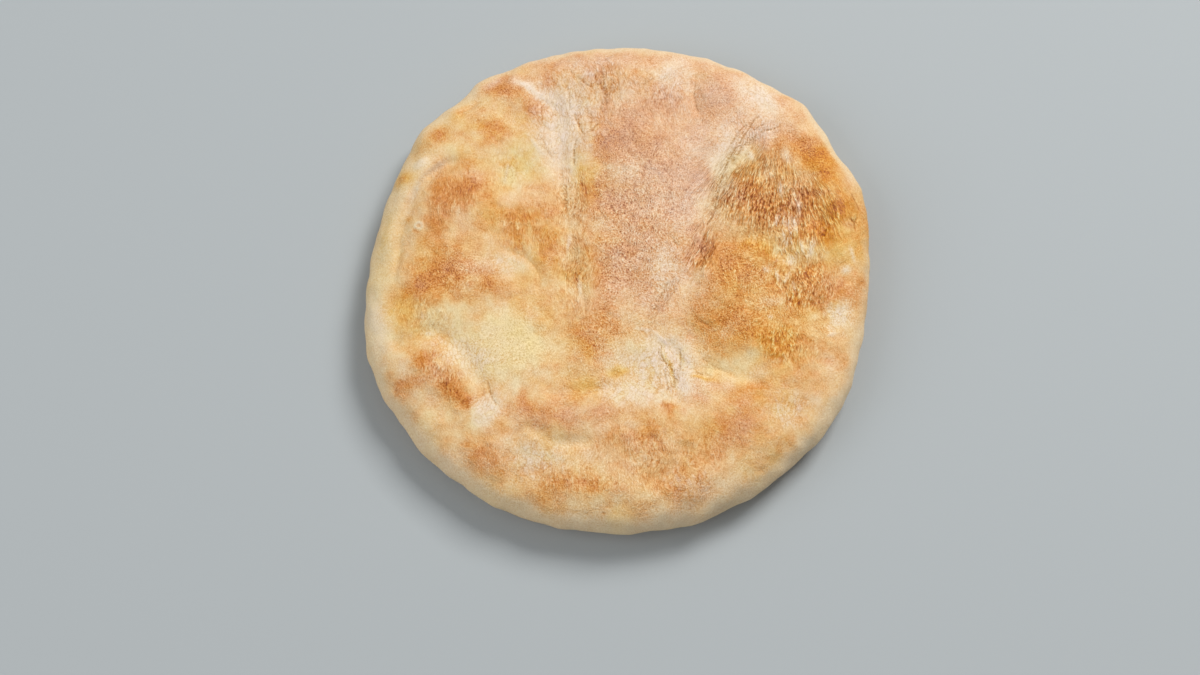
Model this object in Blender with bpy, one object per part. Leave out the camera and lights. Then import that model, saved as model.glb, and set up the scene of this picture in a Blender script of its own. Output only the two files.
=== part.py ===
"""Lepinja: a round leavened flatbread that lies on its flat underside, the browned crust up.

The bread is one solid. Its crust has the swellings, hollows and folds that baking leaves, over a
pillow shape with a soft rim. The origin is in the middle of the underside, +Z is up, +X is to the
right and +Y to the far edge. Blender works in metres, and the sizes below are in millimetres.
"""

import math

import bpy
import numpy as np

MM = 0.001

# Outline at the widest level of the rim
MEAN_RADIUS = 102.3
# Slow waves round the outline: waves in a turn, height, degrees of one crest
OUTLINE_WAVES = (
    (2, 1.7, 59),
    (3, 0.4, 38),
    (4, 1.5, 36),
    (5, 0.5, -21),
    (6, 0.6, 21),
)
# Short bulges and dents of the outline: degrees, half width in degrees, height
OUTLINE_KNOBS = (
    (20, 5, 1.0),
    (32, 4, -1.6),
    (46, 4, 2.0),
    (123, 3, 0.8),
    (130, 3.5, -1.7),
    (142, 3, 1.2),
    (214, 5, -1.2),
    (241, 4, 0.9),
    (263, 5, -1.0),
    (288, 4, 1.1),
    (312, 5, -1.1),
    (333, 4, 0.9),
)

# Section of the pillow
CRUST_LEVEL = 21.5
CROWN_RISE = 1.8
WIDEST_LEVEL = 10.0
WIDEST_WANDER = 1.1
UNDER_INSET = 9.0
SHOULDER_MEAN = 16.5
SHOULDER_SWING = 4.0
SHOULDER_WIDEST_AT = 188
SHOULDER_FULLNESS = 2.3

# Where the crust features below are measured from
FEATURE_ZERO = (-1.0, -3.0)
FEATURE_FADE = 13.0

# Swellings of the crust: x, y, half length, half width, degrees of the length, height
SWELLINGS = (
    (-67, 37, 21, 13, 42, 1.7),
    (-72, 0, 19, 14, 70, 1.6),
    (-50, -2, 10, 8, 20, 1.1),
    (-33, 23, 15, 12, 100, 1.3),
    (-43, 81, 15, 8, -30, 1.5),
    (-52, 62, 14, 10, 30, 0.8),
    (6, 36, 21, 34, 10, 1.3),
    (-3, 91, 19, 10, 0, 1.0),
    (41, 81, 9, 12, -20, 1.7),
    (14, 76, 16, 8, -15, 0.8),
    (59, 40, 17, 27, -12, 2.3),
    (86, 42, 18, 9, 105, 1.3),
    (89, 14, 9, 10, 0, 0.9),
    (47, -11, 17, 20, 60, 1.9),
    (76, -8, 10, 17, 0, 1.1),
    (68, -30, 10, 13, -30, 0.8),
    (-40, -27, 18, 14, 20, 1.6),
    (-9, -24, 10, 20, 0, 1.4),
    (-70, -39, 20, 8, -42, 1.5),
    (-27, -56, 18, 8, 5, 1.1),
    (10, -62, 16, 11, 0, 1.2),
    (46, -60, 17, 11, 25, 1.5),
    (-52, -72, 13, 10, -35, 1.3),
    (-12, -84, 20, 8, 0, 1.2),
    (30, -84, 13, 8, 15, 1.0),
)

# Hollows of the crust: x, y, half length, half width, degrees of the length, depth
HOLLOWS = (
    (-42, 47, 13, 10, 80, 1.0),
    (-22, 62, 9, 14, 0, 1.0),
    (56, 84, 12, 8, -30, 1.2),
    (22, -2, 12, 15, 0, 1.0),
    (12, -38, 13, 9, 0, 0.9),
    (47, -36, 15, 7, -10, 1.1),
    (-62, -24, 12, 8, -25, 0.9),
    (86, -16, 7, 7, 0, 1.0),
    (-30, -74, 9, 7, 0, 1.0),
    (66, -56, 9, 8, 20, 0.9),
)

# Folds that run along the crust: half width, depth, then the route's points
FOLDS = (
    (4.5, 1.5, (-38, 84), (-25, 73), (-22, 55), (-20, 35), (-17, 10), (-14, -14)),
    (4.5, 1.9, (52, 72), (45, 58), (39, 38), (35, 20), (29, 2), (22, -16)),
    (3.5, 1.5, (-88, 4), (-85, 24), (-76, 41), (-62, 53)),
    (4.0, 1.4, (-90, -16), (-84, -27), (-72, -22), (-60, -31), (-53, -43), (-49, -57)),
    (3.0, 1.4, (20, -24), (24, -37), (22, -54)),
    (3.0, 1.1, (24, -37), (40, -37), (60, -45)),
    (2.0, 0.7, (-45, 12), (-36, 9), (-30, 1), (-31, -9)),
    (2.5, 1.0, (35, 90), (32, 80), (33, 69)),
    (3.0, 0.9, (70, 66), (76, 50), (79, 30), (83, 12)),
    (3.5, 0.9, (38, 13), (53, 17), (68, 9), (82, 2)),
    (2.5, 0.8, (2, -44), (-13, -46), (-29, -48)),
    (3.0, 1.1, (-6, -66), (-22, -67), (-36, -62), (-42, -84)),
    (3.0, 1.2, (26, -66), (24, -76), (10, -84)),
)

# Even waviness of the crust: cell, height, seed
CRUST_WAVES = ((31.0, 1.5, 11), (14.0, 0.8, 12))

# Rings of facets
RINGS = 37
UNDER_RINGS = 4
PROFILE_STEPS = 4000
FOLD_STEPS = 8

CRUST_COLOUR = (0.78, 0.50, 0.24, 1.0)
CRUST_ROUGHNESS = 0.72


def clear_scene():
    for thing in list(bpy.data.objects):
        bpy.data.objects.remove(thing)


def smooth_step(value):
    """0 below 0, 1 above 1, with a soft rise between them."""
    held = np.clip(value, 0.0, 1.0)
    return held * held * (3.0 - 2.0 * held)


def lattice_noise(x, y, cell, seed):
    """Smooth noise from about -1 to 1, from random heights on a square lattice."""
    size = 64
    heights = np.random.default_rng(seed).uniform(-1.0, 1.0, (size, size))
    u, v = x / cell + size / 2, y / cell + size / 2
    column, row = np.floor(u).astype(int), np.floor(v).astype(int)
    across, along = smooth_step(u - column), smooth_step(v - row)
    near = heights[row % size, column % size] * (1 - across)
    near = near + heights[row % size, (column + 1) % size] * across
    far = heights[(row + 1) % size, column % size] * (1 - across)
    far = far + heights[(row + 1) % size, (column + 1) % size] * across
    return near * (1 - along) + far * along


def outline_radius(angle):
    """Distance from the middle to the widest level of the rim."""
    radius = np.full_like(angle, MEAN_RADIUS)
    for waves, height, crest in OUTLINE_WAVES:
        radius = radius + height * np.cos(waves * (angle - math.radians(crest)))
    for place, half_width, height in OUTLINE_KNOBS:
        turn = np.angle(np.exp(1j * (angle - math.radians(place))))
        radius = radius + height * np.exp(-((turn / math.radians(half_width)) ** 2))
    return radius


def shoulder_width(angle):
    """How far in from the outline the rim reaches the crust's level."""
    return SHOULDER_MEAN + SHOULDER_SWING * np.cos(angle - math.radians(SHOULDER_WIDEST_AT))


def widest_level(angle):
    return WIDEST_LEVEL + WIDEST_WANDER * np.cos(3 * angle + 0.7) * np.cos(angle - 1.1)


def oval(x, y, half_length, half_width, turned):
    """1 in the middle of an oval, falling softly to 0 past its edge."""
    c, s = math.cos(math.radians(turned)), math.sin(math.radians(turned))
    reach = np.hypot((x * c + y * s) / half_length, (y * c - x * s) / half_width)
    return np.exp(-(reach**2.6))


def smooth_route(points):
    """Points along the smooth curve through a few given ones."""
    given = np.array([points[0], *points, points[-1]], float)
    share = np.linspace(0, 1, FOLD_STEPS, endpoint=False)[:, None]
    route = []
    for a, b, c, d in zip(given, given[1:], given[2:], given[3:]):
        bend = 2 * a - 5 * b + 4 * c - d
        route.append(0.5 * (2 * b + (c - a) * share + bend * share**2 + (3 * (b - c) + d - a) * share**3))
    return np.vstack([*route, given[-1:]])


def fold_depth(x, y, half_width, points):
    """1 along a fold's route and 0 away from it, fading out towards both of its ends."""
    route = smooth_route(points)
    nearest = np.full_like(x, np.inf)
    share = np.zeros_like(x)
    for step in range(len(route) - 1):
        start, run = route[step], route[step + 1] - route[step]
        along = ((x - start[0]) * run[0] + (y - start[1]) * run[1]) / (run @ run)
        along = np.clip(along, 0, 1)
        gap = np.hypot(x - start[0] - along * run[0], y - start[1] - along * run[1])
        closer = gap < nearest
        nearest = np.where(closer, gap, nearest)
        share = np.where(closer, (step + along) / (len(route) - 1), share)
    ends = smooth_step(share / 0.2) * smooth_step((1 - share) / 0.2)
    return np.exp(-((nearest / half_width) ** 2)) * ends


def crust_relief(x, y):
    """Height of the crust's own relief over the pillow shape."""
    u, v = x - FEATURE_ZERO[0], y - FEATURE_ZERO[1]
    height = np.zeros_like(x)
    for across, along, half_length, half_width, turned, rise in SWELLINGS:
        height += rise * oval(u - across, v - along, half_length, half_width, turned)
    for across, along, half_length, half_width, turned, depth in HOLLOWS:
        height -= depth * oval(u - across, v - along, half_length, half_width, turned)
    for half_width, depth, *points in FOLDS:
        height -= depth * fold_depth(u, v, half_width, points)
    for cell, rise, seed in CRUST_WAVES:
        height += rise * lattice_noise(x, y, cell, seed)
    return height


def top_level(share, angle):
    """Level of the crust at a share of the way from the middle to the outline."""
    radius = outline_radius(angle)
    inward = radius * (1 - share)
    climb = np.clip(inward / shoulder_width(angle), 0, 1)
    rounding = (1 - (1 - climb) ** SHOULDER_FULLNESS) ** (1 / SHOULDER_FULLNESS)
    base = widest_level(angle)
    level = base + (CRUST_LEVEL - base) * rounding + CROWN_RISE * (1 - share**2)
    x, y = radius * share * np.cos(angle), radius * share * np.sin(angle)
    return level + crust_relief(x, y) * smooth_step(inward / FEATURE_FADE)


def ring_shares():
    """Shares of the radius where the rings go, evenly spaced along the section from the middle to the rim."""
    share = 1 - np.linspace(1, 0, PROFILE_STEPS) ** 2
    climb = np.clip(MEAN_RADIUS * (1 - share) / SHOULDER_MEAN, 0, 1)
    rounding = (1 - (1 - climb) ** SHOULDER_FULLNESS) ** (1 / SHOULDER_FULLNESS)
    level = WIDEST_LEVEL + (CRUST_LEVEL - WIDEST_LEVEL) * rounding
    length = np.concatenate([[0], np.cumsum(np.hypot(np.diff(share * MEAN_RADIUS), np.diff(level)))])
    return np.interp(np.linspace(0, length[-1], RINGS + 1), length, share)


def top_points():
    """The middle point, then each ring, with six points more than the ring inside it."""
    points = []
    for ring, share in enumerate(ring_shares()):
        count = max(6 * ring, 1)
        angle = np.arange(count) * 2 * math.pi / count
        reach = outline_radius(angle) * share
        level = top_level(np.full(count, share), angle)
        points.append(np.stack([reach * np.cos(angle), reach * np.sin(angle), level], 1))
    return points


def under_points():
    """Rings that turn in under the rim, down to the edge of the flat underside."""
    count = 6 * RINGS
    angle = np.arange(count) * 2 * math.pi / count
    points = []
    for ring in range(1, UNDER_RINGS + 1):
        turn = math.radians(90) * ring / UNDER_RINGS
        reach = outline_radius(angle) - UNDER_INSET * (1 - math.cos(turn))
        level = widest_level(angle) * (1 - math.sin(turn))
        points.append(np.stack([reach * np.cos(angle), reach * np.sin(angle), level], 1))
    points[-1][:, 2] = 0.0
    return points


def top_faces():
    """Triangles between each ring and the one inside it, sector by sector."""
    faces = []
    for ring in range(1, RINGS + 1):
        inner, outer = 3 * (ring - 2) * (ring - 1) + 1, 3 * (ring - 1) * ring + 1
        inner_count, outer_count = 6 * (ring - 1), 6 * ring
        for sector in range(6):
            for step in range(ring):
                a = sector * ring + step
                tip = 0 if ring == 1 else inner + (sector * (ring - 1) + step) % inner_count
                faces.append((tip, outer + a, outer + (a + 1) % outer_count))
            for step in range(ring - 1):
                a = sector * (ring - 1) + step
                tip = outer + sector * ring + step + 1
                faces.append((inner + a, tip, inner + (a + 1) % inner_count))
    return faces


def side_faces(rim_start, floor_ring):
    """Quads that join the rim to the rings under it, and one flat face across the underside."""
    count = 6 * RINGS
    faces = []
    for ring in range(floor_ring):
        upper, lower = rim_start + ring * count, rim_start + (ring + 1) * count
        for step in range(count):
            following = (step + 1) % count
            faces.append((upper + step, lower + step, lower + following, upper + following))
    last = rim_start + floor_ring * count
    faces.append(tuple(last + step for step in reversed(range(count))))
    return faces


def crust_material():
    material = bpy.data.materials.new("baked_crust")
    material.use_nodes = True
    shader = material.node_tree.nodes["Principled BSDF"]
    shader.inputs["Base Color"].default_value = CRUST_COLOUR
    shader.inputs["Roughness"].default_value = CRUST_ROUGHNESS
    shader.inputs["Metallic"].default_value = 0.0
    return material


def make_lepinja():
    top, under = top_points(), under_points()
    points = np.vstack(top + under) * MM
    rim_start = sum(len(ring) for ring in top[:-1])
    faces = top_faces() + side_faces(rim_start, len(under))
    mesh = bpy.data.meshes.new("lepinja")
    mesh.from_pydata(points.tolist(), [], faces)
    mesh.materials.append(crust_material())
    mesh.shade_smooth()
    mesh.set_sharp_from_angle(angle=math.radians(60))
    bread = bpy.data.objects.new("lepinja", mesh)
    bpy.context.scene.collection.objects.link(bread)
    return bread


clear_scene()
make_lepinja()
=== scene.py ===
"""Looks of the lepinja: the fine relief of its crust, its browned patches and its film of flour.

Sizes here are in millimetres, as in the solid's own source, and MM turns them into metres. The
crust repeats the solid's form on a finer mesh and adds what is too fine for the solid. The row of
an oval starts with x, y, half length, half width and the degrees by which it is turned.
"""

import math

import bpy
import numpy as np
from mathutils import Matrix, Vector


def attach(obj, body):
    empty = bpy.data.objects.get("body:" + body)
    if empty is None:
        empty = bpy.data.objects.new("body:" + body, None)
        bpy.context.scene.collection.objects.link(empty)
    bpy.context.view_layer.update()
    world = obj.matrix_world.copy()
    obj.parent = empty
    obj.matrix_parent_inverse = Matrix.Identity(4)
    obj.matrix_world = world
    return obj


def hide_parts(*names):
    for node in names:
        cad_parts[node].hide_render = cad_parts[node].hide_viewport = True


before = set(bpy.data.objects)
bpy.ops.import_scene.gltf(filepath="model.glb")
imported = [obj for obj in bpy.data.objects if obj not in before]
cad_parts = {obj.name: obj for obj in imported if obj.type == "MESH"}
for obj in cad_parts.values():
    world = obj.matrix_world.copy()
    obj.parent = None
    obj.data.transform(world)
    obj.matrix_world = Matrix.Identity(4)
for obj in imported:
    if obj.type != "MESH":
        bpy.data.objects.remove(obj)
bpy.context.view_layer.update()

MM = 0.001

# Outline at the widest level of the rim, as in the solid
MEAN_RADIUS = 102.3
# Slow waves round the outline: waves in a turn, height, degrees of one crest
OUTLINE_WAVES = (
    (2, 1.7, 59), (3, 0.4, 38), (4, 1.5, 36), (5, 0.5, -21), (6, 0.6, 21),
)
# Short bulges and dents of the outline: degrees, half width in degrees, height
OUTLINE_KNOBS = (
    (20, 5, 1), (32, 4, -1.6), (46, 4, 2), (123, 3, 0.8), (130, 3.5, -1.7), (142, 3, 1.2),
    (214, 5, -1.2), (241, 4, 0.9), (263, 5, -1), (288, 4, 1.1), (312, 5, -1.1), (333, 4, 0.9),
)

# Section of the pillow, as in the solid
CRUST_LEVEL = 21.5
CROWN_RISE = 1.8
WIDEST_LEVEL = 10.0
WIDEST_WANDER = 1.1
WIDEST_WAVES = ((3, 0.7), (1, -1.1))
UNDER_INSET = 9.0
SHOULDER_MEAN = 16.5
SHOULDER_SWING = 4.0
SHOULDER_WIDEST_AT = 188
SHOULDER_FULLNESS = 2.3

# Where the crust features below are measured from, and how far in from the outline they are full
FEATURE_ZERO = (-1.0, -3.0)
FEATURE_FADE = 13.0
# How sharply the edges of ovals fall off: of the relief and of the tone
OVAL_SHARPNESS = 2.6
TONE_SHARPNESS = 2.2
# Part of its length over which a fold fades at each of its ends, and a crease
FOLD_ENDS = 0.2
CREASE_ENDS = 0.15

# Swellings of the crust, as in the solid: ovals, height
SWELLINGS = (
    (-67, 37, 21, 13, 42, 1.7), (-72, 0, 19, 14, 70, 1.6), (-50, -2, 10, 8, 20, 1.1),
    (-33, 23, 15, 12, 100, 1.3), (-43, 81, 15, 8, -30, 1.5), (-52, 62, 14, 10, 30, 0.8),
    (6, 36, 21, 34, 10, 1.3), (-3, 91, 19, 10, 0, 1), (41, 81, 9, 12, -20, 1.7),
    (14, 76, 16, 8, -15, 0.8), (59, 40, 17, 27, -12, 2.3), (86, 42, 18, 9, 105, 1.3),
    (89, 14, 9, 10, 0, 0.9), (47, -11, 17, 20, 60, 1.9), (76, -8, 10, 17, 0, 1.1),
    (68, -30, 10, 13, -30, 0.8), (-40, -27, 18, 14, 20, 1.6), (-9, -24, 10, 20, 0, 1.4),
    (-70, -39, 20, 8, -42, 1.5), (-27, -56, 18, 8, 5, 1.1), (10, -62, 16, 11, 0, 1.2),
    (46, -60, 17, 11, 25, 1.5), (-52, -72, 13, 10, -35, 1.3), (-12, -84, 20, 8, 0, 1.2),
    (30, -84, 13, 8, 15, 1),
)

# Hollows of the crust, as in the solid: ovals, depth
HOLLOWS = (
    (-42, 47, 13, 10, 80, 1), (-22, 62, 9, 14, 0, 1), (56, 84, 12, 8, -30, 1.2),
    (22, -2, 12, 15, 0, 1), (12, -38, 13, 9, 0, 0.9), (47, -36, 15, 7, -10, 1.1),
    (-62, -24, 12, 8, -25, 0.9), (86, -16, 7, 7, 0, 1), (-30, -74, 9, 7, 0, 1),
    (66, -56, 9, 8, 20, 0.9),
)

# Folds that run along the crust, as in the solid: half width, depth, then the route's points
FOLDS = (
    (4.5, 1.5, (-38, 84), (-25, 73), (-22, 55), (-20, 35), (-17, 10), (-14, -14)),
    (4.5, 1.9, (52, 72), (45, 58), (39, 38), (35, 20), (29, 2), (22, -16)),
    (3.5, 1.5, (-88, 4), (-85, 24), (-76, 41), (-62, 53)),
    (4, 1.4, (-90, -16), (-84, -27), (-72, -22), (-60, -31), (-53, -43), (-49, -57)),
    (3, 1.4, (20, -24), (24, -37), (22, -54)), (3, 1.1, (24, -37), (40, -37), (60, -45)),
    (2, 0.7, (-45, 12), (-36, 9), (-30, 1), (-31, -9)), (2.5, 1, (35, 90), (32, 80), (33, 69)),
    (3, 0.9, (70, 66), (76, 50), (79, 30), (83, 12)),
    (3.5, 0.9, (38, 13), (53, 17), (68, 9), (82, 2)),
    (2.5, 0.8, (2, -44), (-13, -46), (-29, -48)),
    (3, 1.1, (-6, -66), (-22, -67), (-36, -62), (-42, -84)),
    (3, 1.2, (26, -66), (24, -76), (10, -84)),
)

# Even waviness of the crust, as in the solid: cell, height, seed
CRUST_WAVES = ((31.0, 1.5, 11), (14.0, 0.8, 12))

# Fine mesh: rings of the crust, of the side under it and of the flat underside, and by how many
# points the ring of a disc is longer than the one inside it
RINGS = 160
SIDE_RINGS = 14
UNDER_RINGS = 54
RING_GROWTH = 6
# Steps along the section, and between two points of a route
PROFILE_STEPS = 4000
ROUTE_STEPS = 8
# What brings the noise of slopes to about -1 to 1
SLOPE_GAIN = 1.6
# How far in from the outline the skin of the crust is complete
SKIN_FADE = 6.0
# How deep the underside's dents are, as a share of the skin's lumps
UNDER_DENTS = 0.6

# Lumps and grain of the whole skin: cell, height, height where the skin is smooth, seed
LUMPS = ((9.0, 0.36, 0.30, 31), (4.6, 0.22, 0.14, 32), (2.2, 0.24, 0.05, 33))

# Lumps of the rim and the side: cell, height, seed, and how far in from the outline they reach
RIM_LUMPS = (8.0, 0.55, 34)
RIM_LUMP_REACH = 20.0
# Soft folds and lobes that are too low for the solid, most of them on the left rim, with rows like
# those of the folds and the swellings
FINE_FOLDS = (
    (1.6, 0.7, (-57, 54), (-63, 51), (-72, 47), (-77, 43), (-81, 37), (-83, 32), (-86, 26),
     (-89, 16)),
    (1.4, 0.5, (-86, 20), (-87, 8), (-88, -2)), (1.4, 0.5, (-64, 70), (-58, 76), (-51, 81)),
)
FINE_LOBES = (
    (-85.5, 38, 3, 6, -20, 0.7), (-79, 57, 4, 5, -35, 0.8), (-78.5, 50, 3.4, 2, 35, 0.8),
    (-91, 17, 3, 8, -12, 0.5), (-93, -3, 3, 8, 0, 0.4), (-66, 73, 4, 5, -45, 0.5),
    (-20.5, 64, 4, 14, 0, 0.6), (-17.5, 22, 3.6, 22, 5, 0.45), (46, -36, 16, 9, -10, 0.6),
    (42.5, 44, 6, 18, -23, 0.9), (44, -38.5, 14, 3, -12, 0.35),
)

# The skin's ridges spread like a fan from a point over the large swelling on the right and bend
# downwards: the point, the reach below it at which a ridge has its true width, how fast they
# spread, and the least reach
FAN_POINT = (65.5, 64)
FAN_REACH = 34
FAN_BEND = 0.6
FAN_LEAST = 7
# Ridges of wrinkled skin: width, length, seed, and how they wander: cell, shift, seed
FAN_RIDGE = (1.8, 6.0, 81)
UPRIGHT_RIDGE = (2.2, 6.5, 84)
RIDGE_WARP = (7.0, 1.6, 87)
# How far off its zero the ridges' field has risen to a ridge's full height, the power that rounds
# a ridge, and the share of its height that lies at the form's own level
RIDGE_RISE = 0.34
RIDGE_ROUNDING = 0.7
RIDGE_MIDDLE = 0.7
# Browning at which the skin starts to be coarse, how much more makes it fully so, and the share of
# the ridges' height that smooth skin has
COARSE_FROM = 0.08
COARSE_OVER = 0.3
SMOOTH_RIDGES = 0.4
# Where the skin is wrinkled: ovals, height of the ridges
FAN_WRINKLES = (
    (56, 36, 18, 21, 70, 0.58), (73, 28, 14, 17, 90, 0.62), (70, 14, 8, 12, 90, 0.6),
    (54, 58, 12, 6, 35, 0.16), (34, 12, 6, 14, -15, 0.4),
)
UPRIGHT_WRINKLES = (
    (74, -2, 12, 14, 90, 0.5), (66, -28, 10, 14, 70, 0.4), (47, -10, 18, 16, 0, 0.14),
    (-18, 40, 8, 34, 0, 0.4), (-16, 2, 8, 18, 0, 0.45), (-22, 68, 13, 18, 0, 0.4),
    (-42, 46, 13, 16, 0, 0.32), (-64, 34, 17, 16, 0, 0.26), (-70, 2, 15, 14, -30, 0.08),
    (-75, -16, 12, 8, 0, 0.42), (-36, 20, 14, 14, 0, 0.3), (-3, 84, 14, 16, 0, 0.26),
    (20, 76, 14, 14, -40, 0.24), (14, 30, 22, 34, 0, 0.14), (19, -40, 9, 14, 0, 0.42),
    (-66, -38, 14, 10, -30, 0.3), (0, -74, 60, 16, 0, 0.22),
)

# Bundles of creases that run side by side: how many, their spacing, depth, seed, then the
# points of the bundle's middle
CREASE_BUNDLES = (
    # Left flank of the large swelling on the right
    (5, 1.9, 0.45, 101, (60, 64), (51, 57), (45, 49), (41.5, 39), (39, 28), (34, 12)),
    (4, 2.1, 0.25, 102, (54, 56), (49, 48), (46, 40), (43, 30)),
    (4, 2, 0.45, 103, (36, 22), (34, 12), (32, 2), (29, -8)),
    # Top
    (5, 2.3, 0.42, 104, (-4, 93), (-4, 84), (-3, 74), (-5, 66)),
    (4, 2.2, 0.32, 105, (-19, 90), (-16, 80), (-15, 70), (-12, 60)),
    (4, 2.4, 0.25, 106, (26, 94), (18, 86), (10, 78)),
    (3, 2, 0.22, 107, (-34, 66), (-29, 58), (-25, 48)),
    # Left of the middle
    (5, 1.9, 0.42, 108, (-19, 54), (-18, 40), (-17, 26), (-17, 14)),
    (5, 1.9, 0.5, 109, (-16, 20), (-15.5, 8), (-15, -4), (-14, -16)),
    (3, 2.2, 0.3, 110, (-42, 56), (-43, 46), (-45, 38)),
    # Right of the middle, down to the lower edge
    (4, 2.2, 0.45, 111, (23, 4), (19, -6), (16, -18), (17, -30)),
    (4, 2.2, 0.5, 112, (20, -26), (20, -36), (22, -48)),
    (4, 2.1, 0.28, 113, (28, -33), (38, -36), (50, -41)),
    # Lower right
    (4, 2.2, 0.45, 114, (70, 12), (71, 0), (74, -12)),
    (4, 2, 0.4, 115, (80, 22), (78, 10), (74, -2)),
)
# Each crease of a bundle: its points, its length and its depth as shares of the bundle's from and
# to, and its waver as a share of the spacing
BUNDLE_POINTS = 5
BUNDLE_LENGTH = (0.35, 0.75)
BUNDLE_DEPTH = (0.6, 1.1)
BUNDLE_WAVER = 0.22
# Depth of the strongest crease, a crease's half width, and how far off it is still looked for
CREASE_DEPTH = 0.55
CREASE_HALF_WIDTH = 0.7
CREASE_REACH = 4.0
# Where beside a crease the depth that the material is told starts to fade, and over what width
CREASE_FADE = (0.8, 1.0)
# Short sharp creases: strength, then the route's points
CREASES = (
    # Round the flap left of the middle
    (0.22, (-46, 12), (-41, 11.5), (-36, 9), (-32, 5), (-30, 0), (-30.5, -6)),
    # Upper middle
    (0.7, (-17, 72), (-16, 68), (-14.5, 64.5), (-13.5, 62), (-12, 61)),
    (0.65, (-14, 61.5), (-10, 63), (-8.5, 65), (-6.5, 66.5)), (0.5, (-10.5, 71), (-10, 66)),
    (0.55, (-19.5, 92), (-17.5, 88), (-14.5, 85.5), (-12, 83), (-9.5, 82)),
    (0.8, (-5.5, 91), (-5.5, 85), (-4.5, 79), (-4, 73)), (0.6, (-2, 86), (-2.5, 80), (-4, 77)),
    (0.4, (-1, 92), (0, 86)), (0.65, (-16, 60), (-17, 55), (-17, 48)),
    (0.45, (-32, 62.5), (-29.5, 59.5), (-28, 57)), (0.5, (15, 86), (10, 82)),
    (0.6, (32.5, 89), (31.5, 80), (33, 71)),
    # Middle
    (0.5, (-14.5, 34), (-11, 30)), (0.5, (-8, 31), (-3.5, 24)), (0.4, (-3, 32), (0.5, 26)),
    (0.9, (-20.5, 42), (-20, 36), (-20, 30)), (0.6, (-15.5, 14), (-15, 8), (-14, 2)),
    (0.5, (-17, 14), (-16.5, 8), (-16, 0)), (0.7, (23.5, 20), (22.5, 15.5), (25.5, 13.5)),
    (0.8, (21, -1), (18.5, -5), (16.5, -10), (14, -14.5)),
    (0.6, (32, 23), (31.5, 18), (29.5, 12.5)), (0.7, (36.5, 17), (34.5, 9), (32.5, 1)),
    # Round the large swelling on the right
    (1, (41.5, 41), (40, 34), (38, 27), (35, 22)), (0.6, (39, 36), (38, 30)),
    (0.9, (65.5, 65), (62, 63.5), (57, 62)),
    (1, (57, 61.5), (53, 58), (50, 55.5), (48, 52), (45, 47.5)),
    (0.8, (58, 70), (55, 67.5), (53.5, 64.5), (51, 60.5), (48.5, 56)),
    (0.7, (54, 66.5), (50.5, 64.5), (47, 59.5), (45, 55.5)), (0.6, (59.5, 66), (54.5, 62.5)),
    (1, (51, 59), (47.5, 55), (44, 48.5), (41.5, 41), (39.5, 33)),
    (0.7, (44, 44), (42.5, 37), (41, 29)), (0.9, (94, 37), (96, 33), (97, 30)),
    (0.8, (92, 26), (94.5, 24.5), (96, 27)), (0.8, (94.5, 24.5), (95, 21)),
    # Lower middle and right
    (1, (17, -29.5), (18.5, -33.5), (21, -36), (22.5, -39.5), (22, -46)),
    (0.6, (24.5, -28), (25, -33), (24.5, -38)), (0.6, (30, -38.5), (36.5, -39.5)),
    (0.4, (32, -31.5), (38, -35.5), (43.5, -38.5), (48, -41)), (0.3, (34.5, -31.5), (41, -34.5)),
    (0.6, (32, -17.5), (36, -19.5)), (0.2, (-29, -47), (-16, -48), (-4, -45)),
    # Left
    (0.6, (-50, -42), (-48.5, -48), (-46, -52)),
    (0.16, (-88, 8), (-84, 24), (-77, 38), (-68, 49)),
)

# How strongly the skin's colour shows a crease, half width of its dark line, which is partly
# browner tone and partly painted shade, and the painted highlights on the lips beside it: how far
# off they are and their half width
CREASE_SHARE = 1.15
CREASE_LINE = 0.36
CREASE_LIP_HIGHLIGHT = (0.85, 0.38)

# Ridges whitened by flour: their height, and the oval of each
WHITE_HEIGHT = 0.30
WHITE_RIDGES = (
    (65.3, 38, 3.2, 1.1, 92), (63.6, 24.2, 2.6, 1.3, 80), (67.2, 23.4, 2, 1.5, 0),
    (70, 23.4, 2.2, 1.2, 105), (68.9, 16, 4.4, 0.8, 97), (73, 14.5, 3.8, 0.8, 102),
    (77.2, 13, 4, 1.1, 72), (66.5, 17, 3.6, 0.7, 105), (72.3, 30, 3.4, 1, 97),
    (69.3, 8.5, 2, 1.6, 90), (58.5, 3.9, 1.6, 0.9, -30), (67, 0.4, 2.8, 0.8, 68),
    (69.5, -2.8, 3, 0.7, 100), (63.5, 1, 2.6, 0.8, 110), (90.5, 4.3, 2, 1.6, 30),
    (93, 11, 3.4, 0.8, 105), (60.1, -16.5, 1.1, 0.9, 0), (84, -22.7, 1.8, 0.8, 20),
    (53.8, 51.7, 2, 1, 110), (67.6, 51.5, 3.4, 2.2, 100), (19.3, 87.6, 2.4, 0.8, 20),
    (-12, 87.5, 2.6, 1, 10), (-44, 45, 4, 0.8, 80), (-32, 57, 4.5, 0.7, 125),
    (-14.5, -3, 4, 0.8, 98), (-19, 15, 3.4, 0.7, 84), (-35, 82.5, 5, 1, -35),
    (-28, 78, 6, 1.1, -28), (11, -21, 4, 0.6, -8), (17.5, -24.5, 4.2, 0.6, -45),
    (-73.6, -22, 1.4, 1, 0),
)

# Small blisters of the skin: how many, within what share of the mean radius, their own radius
# from and to, height as a share of it, seed
BLISTER_COUNT = 90
BLISTERS_WITHIN = 0.9
BLISTER_RADIUS = (0.7, 2.2)
BLISTER_HEIGHT = 0.22
BLISTER_SEED = 71
# A burst blister with a raised ring: x, y, radius
RING_BLISTER = (-78.4, 22.5, 1.4)
RING_HALF_WIDTH = 0.5
RING_HEIGHT = 0.36
# What its ring and the skin inside it add to the browning, the flour and the gold
RING_TONE = (-0.26, 0.40, 0.0)
RING_FLOOR_TONE = (0.12, 0.05, -0.2)

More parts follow.
